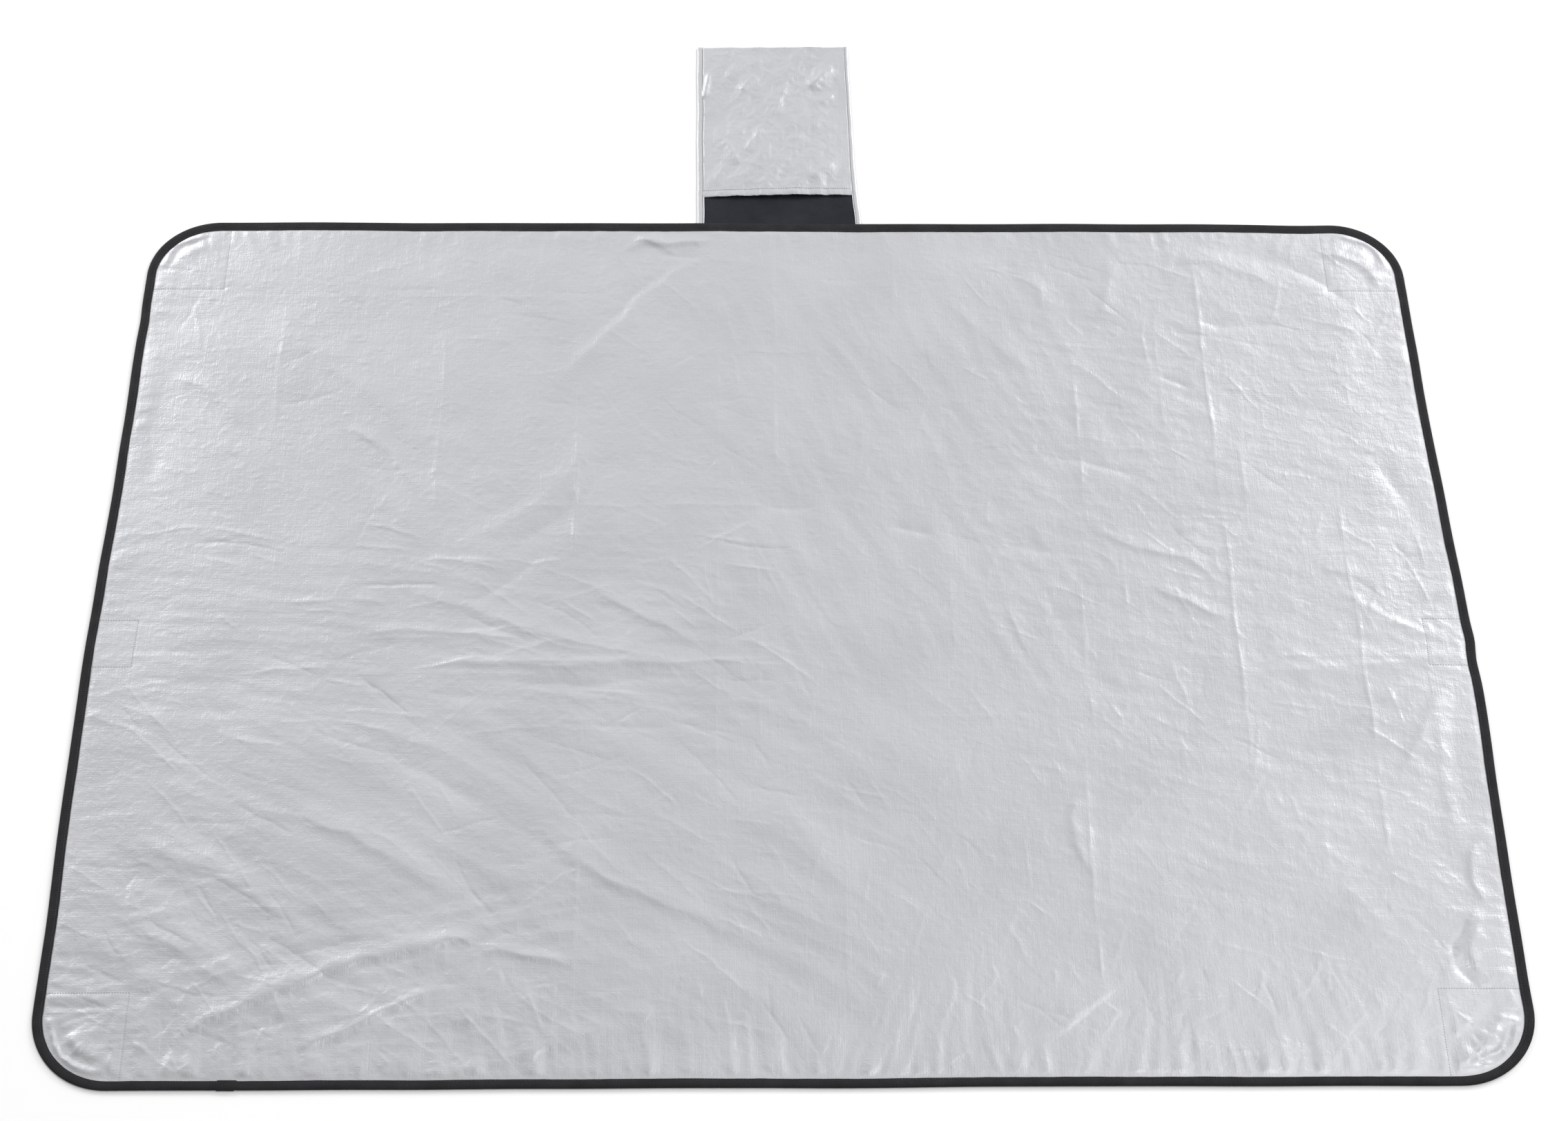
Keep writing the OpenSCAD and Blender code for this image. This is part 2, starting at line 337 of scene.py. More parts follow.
# corners: the cloth is gathered by the tape, in arcs and short folds
for cx, cv, sx, sv in ((110, 110, -1, -1), (1890, 110, 1, -1), (110, 1390, -1, 1), (1890, 1390, 1, 1)):
    # the near corners are gathered more
    big = 1.25 if sv > 0 else 0.6
    for r, a0, a1, amp, width in ((82, 2, 82, -2.9, 8), (91, 0, 90, 2.4, 6), (64, 18, 76, 1.5, 13)):
        if sx > 0:
            a0, a1 = 90 - a1, 90 - a0
        arc = [(cx + sx * r * math.cos(math.radians(a)), cv + sv * r * math.sin(math.radians(a)))
               for a in (a0, (a0 + a1) / 2, a1)]
        add_fold(arc, amp * big, width, ends=0.35)
    for k, a in enumerate((12, 31, 47, 66, 82)):
        c, s = sx * math.cos(math.radians(a)), sv * math.sin(math.radians(a))
        r0, r1 = 96, 52 - 14 * (k % 2)
        add_fold([(cx + c * r0, cv + s * r0), (cx + c * r1 + 4 * sv, cv + s * r1 - 5 * sx)],
                 (0.75 - 0.3 * (k % 2)) * big, 6, ends=0.4)


def inside(X, V):
    """Distance inwards from the tape's inner edge, and the place along the edge, in mm."""
    hw, hd, r = WM / 2 - TAPE_MM, DM / 2 - TAPE_MM, RAD_MM - TAPE_MM
    px, pv = X - WM / 2, V - DM / 2
    qx, qv = np.abs(px) - (hw - r), np.abs(pv) - (hd - r)
    d = r - np.hypot(np.maximum(qx, 0), np.maximum(qv, 0)) - np.minimum(np.maximum(qx, qv), 0)
    ang = np.arctan2(np.maximum(qv, 0), np.maximum(qx, 0) + 1e-9)
    corner = (qx > 0) & (qv > 0)
    # each side and corner starts at a place of its own, so that none repeats another's noise
    along_side = np.where(qx > qv, pv + 2000 + 5000 * (px > 0), px + 12000 + 7000 * (pv > 0))
    along_corner = 9000 + 4000 * (1.0 * (px > 0) + 2.0 * (pv > 0)) + ang * r
    return d, np.where(corner, along_corner, along_side)


EDGE, ALONG = inside(GX, GV)
# the puckers along the tape, strongest on the near side
far_side, near_side = (GV < 200), (GV > 1300)
pull = 0.75 + 0.55 * noise(ALONG / 190, EDGE * 0, 41)
pull = pull * np.where(near_side, 1.0, np.where(far_side, 0.6, 0.5))
lean = ALONG + 0.5 * EDGE * noise(ALONG / 150, EDGE / 400, 42)
gather = (0.9 * noise(lean / 19, EDGE / 130, 43) + 0.8 * noise(lean / 42, EDGE / 150, 44)
          + 0.45 * (0.4 - 1.3 * np.abs(noise(lean / 24, EDGE / 90, 45))))
reach = 34 + 26 * noise(ALONG / 120, 0 * EDGE, 46) + 26 * near_side
H += 1.9 * pull * gather * np.clip(EDGE / 9, 0, 1) * np.exp(-np.clip(EDGE, 0, None) / reach)
H += 0.6 * pull.clip(0.2, 2) * np.exp(-((EDGE - 20) / 17) ** 2)


def dent(x0, x1, v0, v1, amp, width=3.0):
    """The line a row of stitches pulls into the cloth."""
    dx = np.maximum(np.maximum(x0 - GX, GX - x1), 0)
    dv = np.maximum(np.maximum(v0 - GV, GV - v1), 0)
    H[:] -= amp * np.exp(-(np.hypot(dx, dv) / width) ** 1.5)


# the corner patches, the side patches and the V of their middles, whose stitches show on this side
PATCH_W, PATCH_D = 125, 140
SIDE_W, SIDE_D, SIDE_V = 70, 80, 805
RIGHT_EDGE, NEAR_EDGE = round(WM), round(DM)
SEAMS = []
for right in (0, 1):
    for near in (0, 1):
        xc = RIGHT_EDGE - PATCH_W if right else PATCH_W
        vc = NEAR_EDGE - PATCH_D if near else PATCH_D
        xe = RIGHT_EDGE - TAPE_MM if right else TAPE_MM
        ve = NEAR_EDGE - TAPE_MM if near else TAPE_MM
        SEAMS += [((xc, vc), (xc, ve)), ((xc, vc), (xe, vc))]
    xs, xe = (RIGHT_EDGE - SIDE_W, RIGHT_EDGE - TAPE_MM) if right else (SIDE_W, TAPE_MM)
    va, vb = SIDE_V - SIDE_D / 2, SIDE_V + SIDE_D / 2
    SEAMS += [((xs, va), (xs, vb)), ((xs, va), (xe, va)), ((xs, vb), (xe, vb))]
for (xa, va), (xb, vb) in SEAMS:
    dent(min(xa, xb), max(xa, xb), min(va, vb), max(va, vb), 0.2, 2.0)
    # short gathers across the row of stitches
    mx, mv = (xa + xb) / 2, (va + vb) / 2
    near_row = np.exp(-(np.hypot(np.maximum(np.abs(GX - mx) - abs(xa - xb) / 2, 0),
                                 np.maximum(np.abs(GV - mv) - abs(va - vb) / 2, 0)) / 16) ** 2)
    across = noise((GV if xa == xb else GX) / 11, (GX if xa == xb else GV) / 60, int(mx + mv))
    H += 0.22 * near_row * across

# the whole relief, fading out at the tape, with soft limits above and below
RELIEF, MEAN = 1.3, 1.2
HIGH, LOW = 2.6, -0.3
H = RELIEF * ((H - MEAN) * smooth(EDGE / 14) + MEAN * smooth(EDGE / 130))
H = np.where(H > HIGH, HIGH + 1.2 * np.tanh((H - HIGH) / 1.2), H)
H = np.where(H < LOW, LOW - 0.75 * np.tanh((LOW - H) / 1.2), H)
# beneath the tape the layers are squeezed
Z = CLOTH * 1000 + H - 0.55 * (1 - smooth(EDGE / 10)) - 0.55 * smooth(-EDGE / 10)
DZX = np.gradient(Z, STEP, axis=1)
DZV = np.gradient(Z, STEP, axis=0)


def sample(a, X, V):
    """Bilinear value of a raster at points in mm."""
    fx = np.clip(np.asarray(X) / STEP, 0, a.shape[1] - 1.001)
    fv = np.clip(np.asarray(V) / STEP, 0, a.shape[0] - 1.001)
    i, j = fv.astype(int), fx.astype(int)
    u, v = fx - j, fv - i
    return (a[i, j] * (1 - u) + a[i, j + 1] * u) * (1 - v) + (a[i + 1, j] * (1 - u) + a[i + 1, j + 1] * u) * v


def warp(x, y):
    """Where the lying blanket's outline leaves a true rectangle: the sides bow out, the edges waver."""
    X, V = x * 1000 + WM / 2, (FAR - y) * 1000
    to_l, to_r = np.exp(-(X / 260) ** 2), np.exp(-((WM - X) / 260) ** 2)
    to_f, to_n = np.exp(-(V / 220) ** 2), np.exp(-((DM - V) / 220) ** 2)
    left = -6.5 * np.exp(-((V - 900) / 300) ** 2) + 1.0 * noise(V / 120, 3.3, 51) \
        + 1.2 * np.exp(-((V - 205) / 25) ** 2)
    right = 9.0 * np.exp(-((V - 850) / 290) ** 2) + 1.0 * noise(V / 120, 7.3, 52) \
        + 1.4 * np.exp(-((V - 800) / 22) ** 2) - 1.8 * np.exp(-((V - 838) / 26) ** 2)
    far = -1.2 * noise(X / 170, 1.7, 53) + 2.6 * np.exp(-((X - 1840) / 70) ** 2) \
        - 1.0 * np.exp(-((X - 300) / 160) ** 2)
    near = 1.3 * noise(X / 190, 5.7, 54) - 1.5 * np.exp(-((X - 1480) / 200) ** 2)
    dx = left * to_l + right * to_r
    dv = far * to_f + near * to_n
    return x + dx * MM, y - dv * MM


# ---------------------------------------------------------------- mesh helpers
def new_mesh(name, verts, faces):
    me = bpy.data.meshes.new(name)
    me.from_pydata([tuple(map(float, v)) for v in verts], [], [tuple(map(int, f)) for f in faces])
    me.update()
    me.polygons.foreach_set("use_smooth", [True] * len(me.polygons))
    ob = bpy.data.objects.new(name, me)
    bpy.context.scene.collection.objects.link(ob)
    return ob


def grid_mesh(name, P, keep=None, normals=None, flip=False, uvs=None):
    """P is rows x columns x 3. keep says which cells are made. Unused points are dropped."""
    r, c = P.shape[:2]
    idx = np.arange(r * c).reshape(r, c)
    a, b, d, e = idx[:-1, :-1], idx[:-1, 1:], idx[1:, 1:], idx[1:, :-1]
    quads = np.stack([a, b, d, e] if flip else [a, e, d, b], -1).reshape(-1, 4)
    if keep is not None:
        quads = quads[keep.ravel()]
    used = np.unique(quads)
    remap = np.full(r * c, -1)
    remap[used] = np.arange(len(used))
    quads = remap[quads]
    me = bpy.data.meshes.new(name)
    co = P.reshape(-1, 3)[used]
    me.vertices.add(len(co))
    me.vertices.foreach_set("co", co.astype(np.float32).ravel())
    me.loops.add(len(quads) * 4)
    me.loops.foreach_set("vertex_index", quads.astype(np.int32).ravel())
    me.polygons.add(len(quads))
    me.polygons.foreach_set("loop_start", np.arange(0, len(quads) * 4, 4, dtype=np.int32))
    me.polygons.foreach_set("use_smooth", np.ones(len(quads), bool))
    me.update(calc_edges=True)
    if uvs is not None:
        layer = me.uv_layers.new(name="UVMap")
        layer.data.foreach_set("uv", uvs.reshape(-1, 2)[used][quads.ravel()].astype(np.float32).ravel())
    me.validate()
    if normals is not None:
        me.normals_split_custom_set_from_vertices(normals.reshape(-1, 3)[used])
    ob = bpy.data.objects.new(name, me)
    bpy.context.scene.collection.objects.link(ob)
    return ob


def lines(lo, hi, step):
    """Grid lines over y, closer together where the cloth folds."""
    out, y = [lo], lo
    while y < hi - 1e-6:
        s = step
        for fy, half in FOLDS:
            if abs(y + step / 2 - fy) < half * 1.5 + 0.002:
                s = min(step, max(0.0011, half / 9))
        y = min(y + s, hi)
        out.append(y)
    return np.array(out)


# ---------------------------------------------------------------- materials
def material(name):
    m = bpy.data.materials.new(name)
    m.use_nodes = True
    nt = m.node_tree
    return m, nt, nt.nodes["Principled BSDF"]


def node(nt, kind, **values):
    n = nt.nodes.new(kind)
    for k, v in values.items():
        if k in n.inputs:
            n.inputs[k].default_value = v
        else:
            setattr(n, k, v)
    return n


def scaled(nt, scale, rot=(0, 0, 0), source="Object"):
    tc = node(nt, "ShaderNodeTexCoord")
    mp = node(nt, "ShaderNodeMapping")
    mp.inputs["Scale"].default_value = scale
    mp.inputs["Rotation"].default_value = rot
    nt.links.new(tc.outputs[source], mp.inputs["Vector"])
    return mp.outputs["Vector"]


def tex_noise(nt, scale, detail=3.0, rough=0.5, vec=None, dist=0.0):
    n = node(nt, "ShaderNodeTexNoise", Scale=scale, Detail=detail, Roughness=rough, Distortion=dist)
    nt.links.new(vec if vec is not None else scaled(nt, (1, 1, 1)), n.inputs["Vector"])
    return n.outputs["Fac"]


def ramp(nt, fac, lo, hi, a, b):
    n = node(nt, "ShaderNodeMapRange")
    n.inputs["From Min"].default_value, n.inputs["From Max"].default_value = lo, hi
    n.inputs["To Min"].default_value, n.inputs["To Max"].default_value = a, b
    nt.links.new(fac, n.inputs["Value"])
    return n.outputs["Result"]


def mix_colour(nt, fac, a, b):
    n = node(nt, "ShaderNodeMix", data_type="RGBA")
    n.inputs["A"].default_value, n.inputs["B"].default_value = (*a, 1), (*b, 1)
    nt.links.new(fac, n.inputs["Factor"])
    return n.outputs["Result"]


def bump(nt, height, dist, strength, prev=None):
    n = node(nt, "ShaderNodeBump", Distance=dist, Strength=strength)
    nt.links.new(height, n.inputs["Height"])
    if prev is not None:
        nt.links.new(prev, n.inputs["Normal"])
    return n.outputs["Normal"]


def ridges(nt, scale, turn, detail, rough):
    """Sharp-edged noise, like crushed foil."""
    n = node(nt, "ShaderNodeTexNoise", noise_type="RIDGED_MULTIFRACTAL",
             Scale=1.0, Detail=detail, Roughness=rough)
    nt.links.new(scaled(nt, scale, (0, 0, turn)), n.inputs["Vector"])
    return n.outputs["Fac"]


def silver(name, seed=0.0):
    """Coated woven cloth: a soft metallic sheen, fine threads both ways, small foil creases."""
    m, nt, p = material(name)
    tone = tex_noise(nt, 5.0, 4, 0.55, scaled(nt, (1, 1.3, 1), (0, 0, seed)))
    col = mix_colour(nt, ramp(nt, tone, 0.3, 0.7, 0, 1), (0.525, 0.53, 0.55), (0.56, 0.565, 0.585))
    nt.links.new(col, p.inputs["Base Color"])
    p.inputs["Metallic"].default_value = 0.5
    gloss = tex_noise(nt, 7.0, 3, 0.5, scaled(nt, (1, 1, 1), (0, 0, 1 + seed)))
    nt.links.new(ramp(nt, gloss, 0.3, 0.7, 0.38, 0.46), p.inputs["Roughness"])
    down_threads = tex_noise(nt, 1.0, 2, 0.6, scaled(nt, (520, 14, 14)))
    cross_threads = tex_noise(nt, 1.0, 2, 0.6, scaled(nt, (14, 520, 14)))
    small = tex_noise(nt, 1.0, 3, 0.7, scaled(nt, (55, 42, 42), (0, 0, 0.4)), 0.6)
    n1 = bump(nt, small, 0.0016, 0.35)
    n2 = bump(nt, down_threads, 0.0007, 0.33, n1)
    n3 = bump(nt, cross_threads, 0.0007, 0.28, n2)
    n4 = bump(nt, ridges(nt, (60, 78, 10), 0.25 + seed, 4.0, 0.55), 0.0008, 0.5, n3)
    n5 = bump(nt, ridges(nt, (190, 240, 10), 0.6 + seed, 2.0, 0.6), 0.0004, 0.5, n4)
    nt.links.new(n5, p.inputs["Normal"])
    return m


def dark_cloth(name, a, b, rough, scale=(900, 900, 900), depth=0.0003, sheen=0.15, blot=14.0, spec=0.3):
    m, nt, p = material(name)
    tone = tex_noise(nt, blot, 5, 0.65)
    nt.links.new(mix_colour(nt, ramp(nt, tone, 0.3, 0.7, 0, 1), a, b), p.inputs["Base Color"])
    fine = tex_noise(nt, 1.0, 2, 0.5, scaled(nt, scale))
    nt.links.new(ramp(nt, fine, 0.3, 0.7, rough - 0.08, rough + 0.08), p.inputs["Roughness"])
    soft = tex_noise(nt, 90.0, 3, 0.6)
    n1 = bump(nt, soft, 0.0010, 0.3)
    nt.links.new(bump(nt, fine, depth, 0.5, n1), p.inputs["Normal"])
    p.inputs["Sheen Weight"].default_value = sheen
    p.inputs["Sheen Roughness"].default_value = 0.5
    p.inputs["Specular IOR Level"].default_value = spec
    return m


def tape_material():
    """Ribbed tape: fine ribs across it, from its own coordinates along and across."""
    m, nt, p = material("binding_tape")
    tone = tex_noise(nt, 30.0, 4, 0.6)
    col = mix_colour(nt, ramp(nt, tone, 0.3, 0.7, 0, 1), (0.013, 0.013, 0.0145), (0.022, 0.022, 0.0245))
    nt.links.new(col, p.inputs["Base Color"])
    rib = node(nt, "ShaderNodeTexWave", Scale=1.0, Distortion=0.6)
    nt.links.new(scaled(nt, (170, 6, 1), source="UV"), rib.inputs["Vector"])
    fuzz = tex_noise(nt, 700.0, 2, 0.5)
    nt.links.new(ramp(nt, fuzz, 0.3, 0.7, 0.55, 0.75), p.inputs["Roughness"])
    n1 = bump(nt, rib.outputs["Fac"], 0.0004, 0.5)
    nt.links.new(bump(nt, fuzz, 0.0003, 0.4, n1), p.inputs["Normal"])
    p.inputs["Specular IOR Level"].default_value = 0.12
    return m


def plain(name, a, b, rough, scale=300.0):
    m, nt, p = material(name)
    tone = tex_noise(nt, scale, 3, 0.5)
    nt.links.new(mix_colour(nt, ramp(nt, tone, 0.3, 0.7, 0, 1), a, b), p.inputs["Base Color"])
    nt.links.new(bump(nt, tone, 0.0004, 0.3), p.inputs["Normal"])
    p.inputs["Roughness"].default_value = rough
    return m


M_SILVER = silver("silver_backing")
M_POUCH = silver("pouch_silver", 2.0)
M_TAPE = tape_material()
M_FACE = dark_cloth("face_fabric", (0.030, 0.031, 0.035), (0.050, 0.051, 0.056), 0.85, sheen=0.4)
M_PATCH = dark_cloth("patch_cloth", (0.024, 0.025, 0.028), (0.040, 0.041, 0.046), 0.7)
M_LINING = dark_cloth("pouch_lining", (0.010, 0.011, 0.0155), (0.018, 0.020, 0.027), 0.48, (700, 60, 60),
                      sheen=0.0, spec=0.15)
M_WAD = plain("wadding", (0.80, 0.80, 0.78), (0.62, 0.62, 0.60), 0.9)
M_THREAD = plain("thread_grey", (0.06, 0.062, 0.068), (0.12, 0.123, 0.13), 0.7, 900.0)
M_FINE = plain("thread_pale", (0.36, 0.365, 0.38), (0.46, 0.465, 0.48), 0.6, 900.0)
M_DARK = plain("thread_dark", (0.030, 0.030, 0.034), (0.055, 0.055, 0.060), 0.6, 900.0)


def dress(ob, mat):
    """Give a piece its material."""
    ob.data.materials.append(mat)
    return ob


def bend(ob):
    """Bake a piece's placement into its mesh."""
    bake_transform(ob)
    return ob


# ---------------------------------------------------------------- the three layers of cloth, in three runs
def frame_xy(X, V):
    """A place on the cloth, in mm, as x and y of the frame."""
    return (X - WM / 2) * MM, FAR - V * MM


def cloth_run(name, k, step, z_of, border, normals=True, flip=False):
    """One layer of one run of cloth. Its cells stop at a depth beneath the tape, which hides their edge."""
    ylo, yhi = max(CUTS[k + 1], NEAR), min(CUTS[k], FAR)
    ys = lines(ylo, yhi, step)[::-1]
    n = int(round(W / step))
    xs = np.linspace(-W / 2, W / 2, n + 1)
    x, y = np.meshgrid(xs, ys)
    X, V = x * 1000 + WM / 2, (FAR - y) * 1000
    d, _ = inside(X, V)
    inner = d > border
    keep = inner[:-1, :-1] & inner[1:, :-1] & inner[1:, 1:] & inner[:-1, 1:]
    z = z_of(X, V)
    wx, wy = warp(x, y)
    P = np.stack([wx, wy, z * MM], -1)
    nrm = None
    if normals:
        gx, gv = sample(DZX, X, V), sample(DZV, X, V)
        nrm = np.stack([-gx, gv, np.ones_like(gx)], -1)
        nrm /= np.linalg.norm(nrm, axis=-1, keepdims=True)
    return grid_mesh(name, P, keep, nrm, flip)


fine = 0.0025
# the CAD panels that each run replaces, and how far under the tape the layers reach, in mm
RUNS = (("far", ("1",)), ("middle", ("2", "3")), ("near", ("4",)))
CLOTH_BORDER, WADDING_BORDER = -9, -6


def backing_z(X, V):
    return sample(Z, X, V)


def face_z(X, V):
    return 0.42 + 0.16 * noise(X / 60, V / 60, 61) + 0.12 * noise(X / 17, V / 17, 62)


def wadding_z(X, V):
    return 0.75 + 0.75 * (0.5 + 0.5 * np.clip(sample(Z, X, V) - CLOTH * 1000, 0, 1.2))


def wadding_low_z(X, V):
    return 0.75 + 0 * X


for k, (part, panels) in enumerate(RUNS):
    top = dress(cloth_run(f"backing_{part}", k, fine, backing_z, CLOTH_BORDER), M_SILVER)
    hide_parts(*[f"backing_panel_{i}" for i in panels])
    bend(top)
for k, (part, panels) in enumerate(RUNS):
    low = cloth_run(f"face_{part}", k, 0.005, face_z, CLOTH_BORDER, normals=False, flip=True)
    dress(low, M_FACE)
    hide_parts(*[f"face_panel_{i}" for i in panels])
    bend(low)

    # wadding: a thin slab between the two
    a = cloth_run(f"wadding_{part}", k, 0.012, wadding_z, WADDING_BORDER, normals=False)
    b = cloth_run(f"wadding_{part}_low", k, 0.012, wadding_low_z, WADDING_BORDER, normals=False, flip=True)
    bpy.context.view_layer.objects.active = a
    for o in bpy.context.selected_objects:
        o.select_set(False)
    a.select_set(True)
    b.select_set(True)
    bpy.ops.object.join()
    dress(a, M_WAD)
    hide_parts(*[f"wadding_panel_{i}" for i in panels])
    bend(a)


# ---------------------------------------------------------------- the tape round the edge
def edge_path(inset, side, step=0.004):
    """Points along one side of the outline, at a depth inside the outer edge."""
    hw, hd, r = W / 2 - inset, D / 2 - inset, RAD - inset
    cy = (FAR + NEAR) / 2
    out = []

    def line(a, b):
        n = max(2, int(math.dist(a, b) / step))
        return [(a[0] + (b[0] - a[0]) * i / n, a[1] + (b[1] - a[1]) * i / n) for i in range(n)]

    def arc(cx, cyy, a0, a1):
        n = int(abs(a1 - a0) * RAD / step)
        turns = [a0 + (a1 - a0) * i / n for i in range(n)]
        return [(cx + r * math.cos(a), cyy + r * math.sin(a)) for a in turns]

    if side == "far":  # from the left cut, over the far edge, to the right cut
        out += line((-hw, CUTS[1]), (-hw, cy + hd - r)) + arc(-hw + r, cy + hd - r, math.pi, math.pi / 2)
        out += line((-hw + r, cy + hd), (hw - r, cy + hd)) + arc(hw - r, cy + hd - r, math.pi / 2, 0)
        out += line((hw, cy + hd - r), (hw, CUTS[1])) + [(hw, CUTS[1])]
    elif side == "near":
        out += line((hw, CUTS[2]), (hw, cy - hd + r)) + arc(hw - r, cy - hd + r, 0, -math.pi / 2)
        out += line((hw - r, cy - hd), (-hw + r, cy - hd)) + arc(-hw + r, cy - hd + r, -math.pi / 2, -math.pi)
        out += line((-hw, cy - hd + r), (-hw, CUTS[2])) + [(-hw, CUTS[2])]
    elif side == "left":
        out += line((-hw, CUTS[2]), (-hw, CUTS[1])) + [(-hw, CUTS[1])]
    else:
        out += line((hw, CUTS[1]), (hw, CUTS[2])) + [(hw, CUTS[2])]
    return np.array(out)


def refine(p):
    """More points where the path crosses a fold."""
    out = [p[0]]
    for a, b in zip(p[:-1], p[1:]):
        n = 1
        for fy, half in FOLDS:
            if abs((a[1] + b[1]) / 2 - fy) < half * 1.5 + 0.004 and abs(a[1] - b[1]) > 1e-5:
                n = 4
        out += [a + (b - a) * i / n for i in range(1, n + 1)]
    return np.array(out)


TOP = TAPE_TOP * 1000
# half of the section, from the inner edge over the top to the outer fold: depth from the outer edge, height
SECTION = ((13.0, TOP - 1.15), (13.2, TOP - 0.45), (12.9, TOP - 0.12), (12.2, TOP + 0.02), (11.3, TOP - 0.16),
           (10.6, TOP - 0.20), (9.9, TOP - 0.02), (8.2, TOP + 0.22), (5.6, TOP + 0.34), (3.2, TOP + 0.22),
           (1.4, TOP - 0.25), (0.4, TOP - 0.95), (0.05, 1.7), (0.3, 0.85), (1.0, 0.3), (2.4, 0.06),
           (6.0, 0.04), (10.0, 0.04), (12.6, 0.05), (13.0, 0.25))


def tape_run(side):
    """The tape along one side, wider on the far edge and narrower on the near one, a little uneven."""
    p = refine(edge_path(0.0, side))
    t = np.gradient(p, axis=0)
    t /= np.linalg.norm(t, axis=1)[:, None]
    inward = np.stack([t[:, 1], -t[:, 0]], 1)
    s = np.concatenate([[0], np.cumsum(np.linalg.norm(np.diff(p, axis=0), axis=1))])
    rows, uv = [], []
    swell = 0.22 * noise(s / 0.05, 0.3, 81) + 0.16 * noise(s / 0.018, 0.7, 82)
    V = (FAR - p[:, 1]) * 1000
    width = 1.06 + 0.26 * smooth((110 - V) / 110) - 0.08 * smooth((V - 1400) / 100)
    width = width * (1 + 0.045 * noise(s / 0.09, 1.1, 83) + 0.02 * noise(s / 0.02, 1.9, 84))
    across = 0.0
    last = SECTION[0]
    for dep, z in SECTION:
        across += math.hypot(dep - last[0], z - last[1]) * MM
        last = (dep, z)
        top_side = z > 1.8
        q = p + inward * (dep * MM * width)[:, None]
        zz = z + (swell * min(1, dep / 4) if top_side else 0)
        wx, wy = warp(q[:, 0], q[:, 1])
        rows.append(np.stack([wx, wy, (zz + 0 * wx) * MM], -1))
        uv.append(np.stack([s, np.full_like(s, across)], -1))
    ob = grid_mesh(f"tape_{side}", np.stack(rows), uvs=np.stack(uv), flip=True)
    dress(ob, M_TAPE)
    bend(ob)
    return ob


# each side of the outline, and the fold that it crosses
SIDES = (("far", 0), ("near", 2), ("left", 1), ("right", 1))
tapes = {side: tape_run(side) for side, k in SIDES}
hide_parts("binding_far")
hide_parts("binding_near")
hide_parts("binding_left_2", "binding_left_3")
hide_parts("binding_right_2", "binding_right_3")

# the overlapping end of the tape: a short doubled length with a cut, turned-in edge
lap_lo, lap_hi = (np.array(c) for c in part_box("binding_lap"))
lap_s = np.linspace(0, 1, 13)
rows = []
for dep, z in ((13.6, TOP - 0.9), (13.7, TOP + 0.1), (12.6, TOP + 0.5), (10.6, TOP + 0.35), (8.0, TOP + 0.72),
               (5.0, TOP + 0.85), (2.4, TOP + 0.6), (0.2, TOP - 0.1), (-0.7, 1.8), (-0.6, 0.7), (0.6, 0.02)):
    x = lap_lo[0] + (lap_hi[0] - lap_lo[0]) * lap_s + 0.0012 * (dep - 6) / 6 * lap_s
    y = np.full_like(x, NEAR + dep * MM)
    end = 0.5 * smooth((0.10 - np.minimum(lap_s, 1 - lap_s)) / 0.10)
    wx, wy = warp(x, y)
    rows.append(np.stack([wx, wy, (z - end * (z > 2)) * MM], -1))
lap = dress(grid_mesh("tape_lap", np.stack(rows), flip=False), M_TAPE)
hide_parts("binding_lap")
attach(lap, "panel_4")

# ---------------------------------------------------------------- patches on the hidden side
for name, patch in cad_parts.items():
    if "patch" in name:
        patch.data.materials.clear()
        patch.data.materials.append(M_PATCH)


# ---------------------------------------------------------------- stitches
def stitches(name, pts, ups, mat, size=0.00045, fill=0.68):
    """Short threads between following points of a row, each a small flattened six-sided bead."""
    pts, ups = np.asarray(pts, float), np.asarray(ups, float)
    verts, faces = [], []
    for a, b, up in zip(pts[:-1], pts[1:], ups[:-1]):
        d = b - a
        ln = np.linalg.norm(d)
        if ln < 1e-6 or ln > 0.02:
            continue
        d = d / ln
        side = np.cross(up, d)
        side /= np.linalg.norm(side) + 1e-12
        up2 = np.cross(d, side)
        base = len(verts)
        for t, r, h in ((0.02, 0.35, -0.6), (0.16, 0.9, 0.15), (fill - 0.16, 0.9, 0.15), (fill, 0.35, -0.6)):
            c = a + d * (ln * t) + up2 * (h * size)
            for j in range(6):
                ang = math.pi * j / 3
                verts.append(c + side * (math.cos(ang) * size * r) + up2 * (math.sin(ang) * size * r * 0.7))
        for ring in range(3):
            for j in range(6):
                q = base + ring * 6
                faces.append((q + j, q + (j + 1) % 6, q + 6 + (j + 1) % 6, q + 6 + j))
        faces.append(tuple(base + j for j in range(5, -1, -1)))
        faces.append(tuple(base + 18 + j for j in range(6)))
    ob = new_mesh(name, verts, faces)
    ob.data.materials.append(mat)
    return ob


def seam_row(a, b, pitch=3.6):
    """Points of a row of stitches between two places on the cloth, lying on its relief."""
    n = max(2, int(math.dist(a, b) / pitch))
    X = a[0] + (b[0] - a[0]) * np.linspace(0, 1, n + 1)
    V = a[1] + (b[1] - a[1]) * np.linspace(0, 1, n + 1)
    x, y = frame_xy(X, V)
    wx, wy = warp(x, y)
    return np.stack([wx, wy, sample(Z, X, V) * MM + 0.0002], -1)


groups = {"panel_1": [], "panel_4": [], "panel_3": []}
for (xa, va), (xb, vb) in SEAMS:
    body = "panel_1" if vb < 300 else "panel_4" if vb > 1200 else "panel_3"
    row = seam_row((xa, va), (xb, vb))
    # a point far away ends the row
    groups[body] += [*row, row[-1] + 1]
for body, pts in groups.items():
    ob = stitches(f"patch_stitches_{body}", pts, [(0, 0, 1)] * len(pts), M_FINE, 0.0005)
    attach(ob, body)

